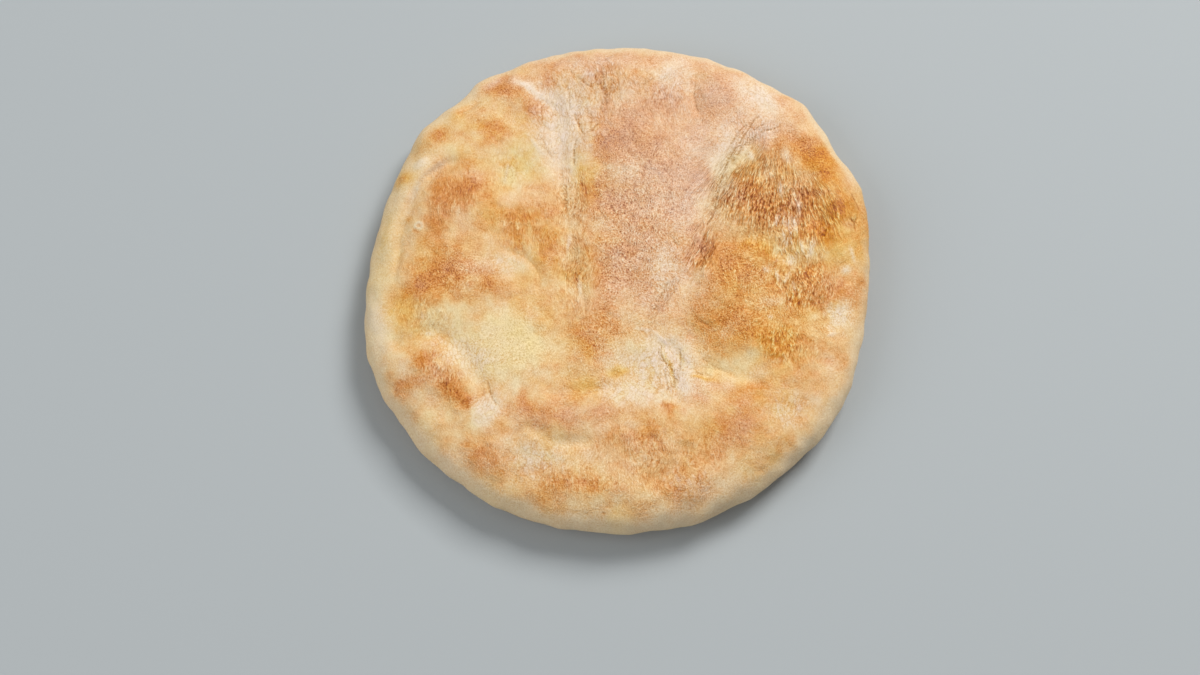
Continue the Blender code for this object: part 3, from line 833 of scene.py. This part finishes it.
def ridge_field(across, along, u, v, width, length, seed):
    """A field that changes sign at each groove between the skin's ridges."""
    shifted = across + gradient_noise(np.stack([u, v, 0 * u], 1), *RIDGE_WARP)
    return gradient_noise(np.stack([shifted, along, 0 * u], 1), (width, length, 1.0), 1, seed)


def ridge(field):
    """Height of the ridges: more than 0 on them and less in the grooves."""
    return np.minimum(np.abs(field) / RIDGE_RISE, 1) ** RIDGE_ROUNDING - RIDGE_MIDDLE


def blister_relief(u, v):
    """Small round blisters at random places, and the ring that a burst one leaves."""
    random = np.random.default_rng(BLISTER_SEED)
    height = np.zeros_like(u)
    for _ in range(BLISTER_COUNT):
        turn = random.uniform(0, 2 * math.pi)
        reach = MEAN_RADIUS * BLISTERS_WITHIN * math.sqrt(random.uniform())
        radius = random.uniform(*BLISTER_RADIUS)
        gap = np.hypot(u - reach * math.cos(turn), v - reach * math.sin(turn)) / radius
        height += BLISTER_HEIGHT * radius * np.exp(-(gap**3))
    return height + RING_HEIGHT * ring_share(u, v)[0]


def ring_share(u, v):
    """1 on the burst blister's ring, and 1 on the skin inside it."""
    x, y, radius = RING_BLISTER
    gap = np.hypot(u - x, v - y)
    return bell((gap - radius) / RING_HALF_WIDTH), np.exp(-((gap / radius) ** 4))


def bundle_creases(count, spacing, depth, seed, *points):
    """Creases that run side by side, each with its own length, depth and waver."""
    random = np.random.default_rng(seed)
    route = smooth_route(points)
    run = np.gradient(route, axis=0)
    aside = np.stack([run[:, 1], -run[:, 0]], 1) / np.linalg.norm(run, axis=1)[:, None]
    creases = []
    for number in range(count):
        length = random.uniform(*BUNDLE_LENGTH)
        start = random.uniform(0, 1 - length)
        at = np.linspace(start, start + length, BUNDLE_POINTS) * (len(route) - 1)
        at = at.round().astype(int)
        waver = random.normal(0, BUNDLE_WAVER * spacing, BUNDLE_POINTS)
        off = (number - (count - 1) / 2) * spacing + waver
        deep = depth * random.uniform(*BUNDLE_DEPTH)
        creases.append((deep, *(route[at] + aside[at] * off[:, None])))
    return creases


def crease_field(u, v):
    """Distance from the nearest sharp crease, to its left or right, and its depth there."""
    nearest = np.full_like(u, CREASE_REACH)
    depth = np.zeros_like(u)
    bundled = [crease for bundle in CREASE_BUNDLES for crease in bundle_creases(*bundle)]
    for deep, *route in (*bundled, *CREASES):
        low, high = np.min(route, 0) - CREASE_REACH, np.max(route, 0) + CREASE_REACH
        near = np.flatnonzero((u > low[0]) & (u < high[0]) & (v > low[1]) & (v < high[1]))
        gap, share = route_gap(u[near], v[near], route)
        closer = np.abs(gap) < np.abs(nearest[near])
        nearest[near] = np.where(closer, gap, nearest[near])
        depth[near] = np.where(closer, deep * ease_ends(share, CREASE_ENDS), depth[near])
    return nearest, depth


def white_share(u, v):
    """1 on the ridges that flour has whitened."""
    return oval_most(u, v, [(*row, 1) for row in WHITE_RIDGES])


def fine_relief(points, skin):
    """What the skin adds to the solid's form."""
    u, v = skin["u"], skin["v"]
    height = skin["rim"] * gradient_noise(points, *RIM_LUMPS)
    for cell, coarse_rise, smooth_rise, seed in LUMPS:
        rise = smooth_rise + (coarse_rise - smooth_rise) * skin["coarse"]
        height += gradient_noise(points, cell, rise, seed)
    height += skin["on_top"] * (oval_sum(u, v, FINE_LOBES) - fold_sum(u, v, FINE_FOLDS))
    height += skin["fan_share"] * ridge(skin["fan_field"])
    height += skin["upright_share"] * ridge(skin["upright_field"])
    height += WHITE_HEIGHT * skin["white"]
    height -= CREASE_DEPTH * skin["crease_depth"] * bell(skin["crease_gap"] / CREASE_HALF_WIDTH)
    return height + skin["on_top"] * blister_relief(u, v)


def skin_fields(form, tone, inward, on_top):
    """Places, ridges and creases of the skin's points."""
    u, v = form[:, 0] - FEATURE_ZERO[0], form[:, 1] - FEATURE_ZERO[1]
    across, along = fan_way(u, v)
    gap, depth = crease_field(u, v)
    coarse = smooth_step((tone[:, 0] - COARSE_FROM) / COARSE_OVER)
    ridged = on_top * (SMOOTH_RIDGES + (1 - SMOOTH_RIDGES) * coarse)
    return {
        "u": u,
        "v": v,
        "on_top": on_top,
        "rim": smooth_step(1 - inward / RIM_LUMP_REACH),
        "coarse": coarse,
        "fan_across": across,
        "fan_along": along,
        "fan_field": ridge_field(across, along, u, v, *FAN_RIDGE),
        "upright_field": ridge_field(u, v, u, v, *UPRIGHT_RIDGE),
        "fan_share": oval_most(u, v, FAN_WRINKLES) * ridged,
        "upright_share": oval_most(u, v, UPRIGHT_WRINKLES) * ridged,
        "white": white_share(u, v) * on_top,
        "grain": GRAIN_BASE + oval_most(u, v, GRAIN_PLACES) * on_top,
        "flakes": oval_most(u, v, FLAKE_PLACES) * on_top,
        # Painted shade on the pale rim
        "painted_rim_shade": oval_most(u, v, PAINTED_RIM_SHADE_PLACES),
        "crease_gap": gap,
        "crease_depth": depth * on_top,
    }


def left_share(angle):
    """1 at the pale left rim and 0 on the far side of it."""
    return np.exp(-((turn_from(angle, PALE_LEFT_AT) / math.radians(PALE_LEFT_HALF)) ** 4))


def spots(u, v, rows):
    """What soft spots add to the browning, the flour and the gold."""
    tone = np.zeros((len(u), 3))
    for x, y, half_length, half_width, turned, *amounts in rows:
        spot = oval(u - x, v - y, half_length, half_width, turned, TONE_SHARPNESS)
        tone[:, : len(amounts)] += spot[:, None] * np.array(amounts) / 100
    return tone


def crust_tone(x, y):
    """Browning, flour and gold of the crust."""
    u, v = x - FEATURE_ZERO[0], y - FEATURE_ZERO[1]
    shifted_u, shifted_v = u, v
    for cell, shift, seed in TONE_WARPS:
        shifted_u = shifted_u + lattice_noise(u, v, cell, shift, seed)
        shifted_v = shifted_v + lattice_noise(u, v, cell, shift, seed + 1)
    tone = BASE_TONE + spots(shifted_u, shifted_v, TONE_PATCHES)
    for cell, seed, *amounts in TONE_NOISE:
        for part, amount in enumerate(amounts):
            tone[:, part] += lattice_noise(u, v, cell, amount, seed + part)
    tone += white_share(u, v)[:, None] * WHITE_TONE
    angle = np.arctan2(y, x)
    inward = outline_radius(angle) - np.hypot(x, y) + lattice_noise(u, v, *PALE_WANDER)
    left = left_share(angle)
    pale = 1 - smooth_step(inward / (PALE_RIM + PALE_RIM_LEFT * left) - PALE_FULL)
    pale_tone = PALE_TONE * np.stack([np.ones_like(left), np.ones_like(left), left], 1)
    tone = tone * (1 - pale[:, None] * PALE_COVER) + pale[:, None] * pale_tone
    ring, inside = ring_share(u, v)
    tone += ring[:, None] * RING_TONE + inside[:, None] * RING_FLOOR_TONE
    return tone + spots(u, v, RIM_SPOTS)


def under_tone(points):
    """Browning, flour and gold of the side, which is pale, and of the underside."""
    x, y, z = points.T
    drop = smooth_step((WIDEST_LEVEL - z) / WIDEST_LEVEL - SIDE_FULL)[:, None]
    side = SIDE_TONE + spots(x - FEATURE_ZERO[0], y - FEATURE_ZERO[1], RIM_SPOTS)
    side[:, 0] += gradient_noise(points, *SIDE_WANDER)
    side[:, 2] += SIDE_LEFT_GOLD * left_share(np.arctan2(y, x))
    tone = side * (1 - drop) + np.array(UNDER_TONE) * drop
    for part, *wave in UNDER_NOISE:
        tone[:, part] += drop[:, 0] * gradient_noise(points, *wave)
    return tone


def linear(colour):
    """A colour out of 255 as seen, as the light that it stands for, from 0 to 1."""
    share = np.asarray(colour, float) / 255
    return np.where(share <= 0.04045, share / 12.92, ((share + 0.055) / 1.055) ** 2.4)


def own_colour(colour):
    """The surface's own colour behind one seen under the scene's light."""
    return (*(np.maximum(linear(colour) - GLOSS, 0) * OWN_SHARE), 1.0)


class Value:
    """What the material works out at each place of the skin. Sums with it make shader nodes."""

    def __init__(self, socket):
        self.socket = socket
        self.tree = socket.id_data

    def through(self, kind, operation, others):
        """What a node makes of this value and of others, which are given by input."""
        made = node(self.tree, kind, {0: self, **others})
        made.operation = operation
        return Value(made.outputs[0])

    def maths(self, operation, other=0.0):
        return self.through("ShaderNodeMath", operation, {1: other})

    def vector_maths(self, operation, others):
        return self.through("ShaderNodeVectorMath", operation, others)

    def __add__(self, other):
        return self.maths("ADD", other)

    def __sub__(self, other):
        return self.maths("SUBTRACT", other)

    def __mul__(self, other):
        return self.maths("MULTIPLY", other)

    def __truediv__(self, other):
        return self.maths("DIVIDE", other)

    def __abs__(self):
        return self.maths("ABSOLUTE")

    def clamped(self):
        """Holds the number that was just worked out between 0 and 1."""
        self.socket.node.use_clamp = True
        return self

    def bell(self):
        """1 where the number is 0, falling softly to 0 on both sides."""
        return (self * self * -1.0).maths("EXPONENT")

    def towards(self, other, share):
        """This number where the share is 0, and the other one where it is 1."""
        return Value(node(self.tree, "ShaderNodeMix", {0: share, 2: self, 3: other}).outputs[0])

    def laid_over(self, share, colour, blend="MIX"):
        """This colour with a share of another one laid over it."""
        made = self.tree.nodes.new("ShaderNodeMix")
        made.data_type = "RGBA"
        made.blend_type = blend
        return Value(feed(made, {0: share, 6: self, 7: colour}).outputs[2])


def feed(made, inputs):
    """Sets or links inputs of a shader node, which are given by name or by number."""
    for place, value in inputs.items():
        if isinstance(value, Value):
            made.id_data.links.new(value.socket, made.inputs[place])
        else:
            made.inputs[place].default_value = value
    return made


def node(tree, kind, inputs):
    """A new shader node with some of its inputs."""
    return feed(tree.nodes.new(kind), inputs)


def attribute(tree, name):
    """The three numbers that each point has under a name, as one place."""
    made = tree.nodes.new("ShaderNodeAttribute")
    made.attribute_name = name
    return Value(made.outputs["Vector"])


def apart(place):
    """The three numbers of a place."""
    made = node(place.tree, "ShaderNodeSeparateXYZ", {0: place})
    return [Value(socket) for socket in made.outputs]


def ramp(browning, colours):
    """Colours at the steps of browning."""
    made = node(browning.tree, "ShaderNodeValToRGB", {0: browning})
    steps = made.color_ramp.elements
    while len(steps) < len(colours):
        steps.new(0.5)
    for step, place, colour in zip(steps, BAKE_STEPS, colours):
        step.position = place
        step.color = own_colour(colour)
    return Value(made.outputs["Color"])


def noise(place, scale, detail=2.0, roughness=0.5):
    """Noise in space that runs from about -1 to 1."""
    inputs = {"Vector": place, "Scale": scale, "Detail": detail, "Roughness": roughness}
    made = node(place.tree, "ShaderNodeTexNoise", inputs)
    return (Value(made.outputs["Fac"]) - NOISE_MIDDLE) * NOISE_SPREAD


def groove_line(field):
    """1 on the line where a field changes sign, and 0 a little way off it."""
    return (abs(field) / GROOVE_HALF_WIDTH).clamped() * -1.0 + 1.0


def crest_line(field):
    """1 along the crests of the ridges that a field makes, and 0 on their lower flanks."""
    return ((abs(field) - CREST_FROM) / CREST_REACH).clamped()


def drawn_out(place, stretch):
    """The place with its length along the grain shortened, which draws out what is laid on it."""
    return place.vector_maths("MULTIPLY", {1: (1.0, stretch, 1.0)})


def pebbles(place, coarse_part, fine_part):
    """The skin's grain: about -1 in the pits and 1 on the pebbles between them."""
    stretch, weight = coarse_part
    coarse = noise(drawn_out(place, stretch), GRAIN_SCALE, 1.0) * weight
    stretch, weight = fine_part
    return noise(drawn_out(place, stretch), GRAIN_SCALE * FINE_GRAIN, 1.0) * weight + coarse


def wrinkles(place, stretch):
    """1 on the crests of fine wrinkles, -1 in the grooves beside them and 0 between wrinkles."""
    off = noise(drawn_out(place, stretch), WRINKLE_SCALE) / WRINKLE_WIDTH
    return off * WRINKLE_PEAK * off.bell()


def flakes(place):
    """A random number for each flake of the crazed skin, and 1 in the cracks between flakes."""
    inputs = {"Vector": place, "Scale": FLAKE_WANDER_SCALE, "Detail": 1.0}
    wander = Value(node(place.tree, "ShaderNodeTexNoise", inputs).outputs["Color"])
    shift = wander.vector_maths("SCALE", {3: FLAKE_WANDER})
    shifted = drawn_out(place, FLAKE_STRETCH).vector_maths("ADD", {1: shift})
    inputs = {"Vector": shifted, "Scale": FLAKE_SCALE}
    cells = node(place.tree, "ShaderNodeTexVoronoi", inputs)
    edges = node(place.tree, "ShaderNodeTexVoronoi", inputs)
    edges.feature = "DISTANCE_TO_EDGE"
    off = (Value(edges.outputs["Distance"]) / CRACK_HALF_WIDTH).clamped()
    return apart(Value(cells.outputs["Color"]))[0], off * -1.0 + 1.0


def broken(specks, least, rise):
    """The share of a dark line that the specks leave."""
    return (specks * rise + least).clamped()


def skin_pattern(tree):
    """The parts of the skin's fine pattern, by name."""
    fan_field, upright_field, flaking = apart(attribute(tree, "ridges"))
    fan_share, upright_share, _ = apart(attribute(tree, "ridge_share"))
    crease_gap, crease_depth, grain_weight = apart(attribute(tree, "crease"))
    place, fan_place = attribute(tree, "way"), attribute(tree, "fan_way")
    upright = (upright_share * RIDGED_WEIGHT).clamped()
    fan = (fan_share * RIDGED_WEIGHT).clamped()

    grain = pebbles(place, *PLAIN_GRAIN).towards(pebbles(place, *UPRIGHT_GRAIN), upright)
    grain = grain.towards(pebbles(fan_place, *FAN_GRAIN), fan)
    upright_stretch, fan_stretch = WRINKLE_STRETCH
    upright_lines = wrinkles(place, upright_stretch) * upright
    fan_lines = wrinkles(fan_place, fan_stretch) * fan * FAN_LINES
    specks = noise(place, *SPECKS)
    lot, crack = flakes(place)
    crack = crack * broken(specks, *CRACK_BREAKS) * flaking

    off_crease = abs(crease_gap)
    weight = (crease_depth * CREASE_SHARE).clamped()
    crease = (off_crease / CREASE_LINE).bell() * weight * broken(specks, *CREASE_BREAKS)
    lip_at, lip_half_width = CREASE_LIP_HIGHLIGHT
    groove = groove_line(fan_field) * fan_share + groove_line(upright_field) * upright_share
    groove = (groove * broken(specks, *GROOVE_BREAKS) * GROOVE_SHARE + crease).clamped()
    # Crests of the ridges, which the material paints lighter as painted highlights
    painted_crest_highlight = crest_line(fan_field) * fan + crest_line(upright_field) * upright
    return {
        "grain": grain * grain_weight,
        "lines": upright_lines + fan_lines,
        "mottle": noise(place, *MOTTLE),
        "specks": specks,
        "lot": (lot - 0.5) * flaking,
        "crack": crack,
        "groove": (crack * CRACK_SHARE + groove).clamped(),
        # Painted highlights on the lips beside the creases
        "painted_lip_highlight": ((off_crease - lip_at) / lip_half_width).bell() * weight,
        "painted_crest_highlight": painted_crest_highlight.clamped(),
    }


def with_parts(start, pattern, shares, growing=None):
    """A number with parts of the skin's pattern added. What a part adds is its share, and the
    part's rise times a number that grows."""
    total = start
    for name, (share, rise) in shares.items():
        total = pattern[name] * (growing * rise + share if rise else share) + total
    return total


def crust_material():
    """Baked skin: browning from cream to brown, a golden tint, flour caught in its grain, and
    painted light and shade on its fine relief and its pale rim.
    """
    material = bpy.data.materials.new("baked_crust")
    material.use_nodes = True
    tree = material.node_tree
    bake, flour, gold = apart(attribute(tree, "tone"))
    coarse = apart(attribute(tree, "ridge_share"))[2]
    painted_rim_shade = apart(attribute(tree, "painted_shading"))[0]
    pattern = skin_pattern(tree)

    least, rise, flour_rise, most = GRAIN_BROWNING
    strength = (bake * bake * rise + least + flour * flour_rise).maths("MINIMUM", most)
    # Browner pits and paler pebbles: partly the grain's own tone, partly painted shade and painted
    # light
    pits = pattern["grain"].maths("MINIMUM", 0.0) * PIT_BROWNING
    tops = pattern["grain"].maths("MAXIMUM", 0.0) * PEBBLE_BROWNING
    browning = (pits + tops) * strength + bake
    browning = with_parts(browning, pattern, BROWNING_SHARES, bake).clamped()
    cover = (with_parts(flour, pattern, COVER_SHARES, flour) * FLOUR_COVER).clamped()
    colour = ramp(browning, PLAIN_CRUST).laid_over(gold, ramp(browning, GOLDEN_CRUST))
    colour = colour.laid_over(cover, own_colour(FLOUR_COLOUR))
    # Grooves, creases and cracks darkened: partly their browner tone, partly painted shade
    colour = colour.laid_over(pattern["groove"], (*GROOVE_TONE_AND_SHADE, 1.0), "MULTIPLY")
    # Painted shade on the pale rim, olive in hue
    colour = colour.laid_over(painted_rim_shade, (*PAINTED_RIM_SHADE_TINT, 1.0), "MULTIPLY")
    # Painted light and shade of the grain, the wrinkles and the creases' lips
    painted_shading = with_parts(1.0, pattern, PAINTED_SHADING_SHARES)
    height = with_parts(0.0, pattern, HEIGHT_SHARES, coarse)
    bump = node(tree, "ShaderNodeBump", {"Strength": 1.0, "Distance": MM, "Height": height})
    plain, baked, floured = ROUGHNESS
    inputs = {
        "Base Color": colour.vector_maths("SCALE", {3: painted_shading}),
        "Roughness": (bake * baked + plain + cover * floured).clamped(),
        "Normal": Value(bump.outputs["Normal"]),
        "IOR": IOR,
    }
    feed(tree.nodes["Principled BSDF"], inputs)
    return material


def set_numbers(mesh, name, *numbers):
    """Up to three numbers for each point, which the material reads by name."""
    table = np.zeros((len(mesh.vertices), 3), np.float32)
    for column, number in enumerate(numbers):
        table[:, column] = number
    made = mesh.attributes.new(name, "FLOAT_VECTOR", "POINT")
    made.data.foreach_set("vector", table.ravel())


def lay_map(mesh, points, faces, crust_count):
    """A flat map of the skin: the crust is one disc, the side and the underside a smaller one."""
    shares = [ring / RINGS for ring in range(RINGS + 1)]
    shares += [1 - MAP_SIDE * (ring + 1) / SIDE_RINGS for ring in range(SIDE_RINGS)]
    shares += [(1 - MAP_SIDE) * ring / UNDER_RINGS for ring in reversed(range(UNDER_RINGS))]
    share = np.repeat(shares, np.concatenate(ring_counts()))[:, None]
    angle = np.arctan2(points[:, 1], points[:, 0])
    disc = (share * np.stack([np.cos(angle), np.sin(angle)], 1))[faces.ravel()]
    on_top = (faces < crust_count).all(1).repeat(3)[:, None]
    (top_middle, top_radius), (under_middle, under_radius) = MAP_DISCS
    under_place = under_middle + under_radius * disc * (-1, 1)
    place = np.where(on_top, top_middle + top_radius * disc, under_place)
    layer = mesh.uv_layers.new(name="OFBake")
    layer.uv.foreach_set("vector", place.astype(np.float32).ravel())


def add_object(name, data):
    made = bpy.data.objects.new(name, data)
    bpy.context.scene.collection.objects.link(made)
    return made


def make_crust():
    top, side, under = skin_points()
    form, faces = np.vstack([top, side, under]), skin_faces()
    inward = outline_radius(np.arctan2(form[:, 1], form[:, 0])) - np.hypot(form[:, 0], form[:, 1])
    on_top = (np.arange(len(form)) < len(top)) * smooth_step(inward / SKIN_FADE)
    tone = np.vstack([crust_tone(top[:, 0], top[:, 1]), under_tone(np.vstack([side, under]))])
    tone = np.clip(tone, 0, TONE_MOST)
    skin = skin_fields(form, tone, inward, on_top)
    height = fine_relief(form, skin)
    points = form + point_normals(form, faces) * height[:, None]
    is_flat = np.arange(len(form)) >= len(top) + len(side) - RING_GROWTH * RINGS
    points[:, 2] = np.maximum(np.where(is_flat, -UNDER_DENTS * height, points[:, 2]), 0.0)

    mesh = bpy.data.meshes.new("crust")
    mesh.from_pydata((points * MM).tolist(), [], faces.tolist())
    mesh.shade_smooth()
    set_numbers(mesh, "tone", *tone.T)
    set_numbers(mesh, "ridges", skin["fan_field"], skin["upright_field"], skin["flakes"])
    set_numbers(mesh, "ridge_share", skin["fan_share"], skin["upright_share"], skin["coarse"])
    fade_from, fade_over = CREASE_FADE
    told = smooth_step(1 - (np.abs(skin["crease_gap"]) - fade_from) / fade_over)
    set_numbers(mesh, "crease", skin["crease_gap"], skin["crease_depth"] * told, skin["grain"])
    # Painted shade on the pale rim, for the material
    set_numbers(mesh, "painted_shading", skin["painted_rim_shade"])
    set_numbers(mesh, "way", form[:, 0] + gradient_noise(form, *WAY_WAVER), *form.T[1:])
    fan_across = skin["fan_across"] + gradient_noise(form, *FAN_WAVER)
    set_numbers(mesh, "fan_way", fan_across, skin["fan_along"], form[:, 2])
    lay_map(mesh, form, faces, len(top))
    mesh.materials.append(crust_material())

    crust = add_object("crust", mesh)
    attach(crust, "root")
    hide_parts("lepinja")


def make_floor():
    mesh = bpy.data.meshes.new("floor")
    half, level = FLOOR_SIZE / 2 * MM, -FLOOR_DROP * MM
    corners = [(x * half, y * half, level) for x, y in ((-1, -1), (1, -1), (1, 1), (-1, 1))]
    mesh.from_pydata(corners, [], [(0, 1, 2, 3)])
    material = bpy.data.materials.new("pale_floor")
    material.use_nodes = True
    inputs = {"Base Color": (*FLOOR_COLOUR, 1.0), "Roughness": FLOOR_ROUGHNESS}
    feed(material.node_tree.nodes["Principled BSDF"], inputs)
    mesh.materials.append(material)
    add_object("floor", mesh)


def make_lighting():
    """Square area lights that point at the bread, and an even sky."""
    for name, place, size, power, colour in LIGHTS:
        data = bpy.data.lights.new(name, "AREA")
        data.size = size
        data.energy = power
        data.color = colour
        light = add_object(name, data)
        light.location = place
        light.rotation_euler = (-Vector(place)).to_track_quat("-Z", "Y").to_euler()
    world = bpy.data.worlds.new("studio")
    world.use_nodes = True
    inputs = {"Color": (*SKY_COLOUR, 1.0), "Strength": SKY_STRENGTH}
    feed(world.node_tree.nodes["Background"], inputs)
    bpy.context.scene.world = world
    bpy.context.scene.view_settings.view_transform = "Standard"


def make_camera():
    """Stands where the photograph was taken from, as seen from the bread, and frames it alike."""
    data = bpy.data.cameras.new("camera")
    data.lens = LENS
    data.sensor_width = SENSOR
    elevation = math.radians(CAMERA_ELEVATION)
    back = Vector((0, -math.cos(elevation), math.sin(elevation)))
    place = (Vector(AIM_POINT) + back * CAMERA_DISTANCE) * MM
    pixels = LENS / SENSOR * FRAME_WIDTH
    yaw = math.atan((AIM_PIXEL[0] - FRAME_WIDTH / 2) / pixels)
    pitch = math.atan((FRAME_HEIGHT / 2 - AIM_PIXEL[1]) / pixels)
    look = (-back).to_track_quat("-Z", "Y").to_matrix().to_4x4()
    turn = Matrix.Rotation(yaw, 4, "Y") @ Matrix.Rotation(-pitch, 4, "X")
    camera = add_object("camera", data)
    camera.matrix_world = Matrix.Translation(place) @ look @ turn
    bpy.context.scene.camera = camera


make_camera()
make_crust()
make_floor()
make_lighting()
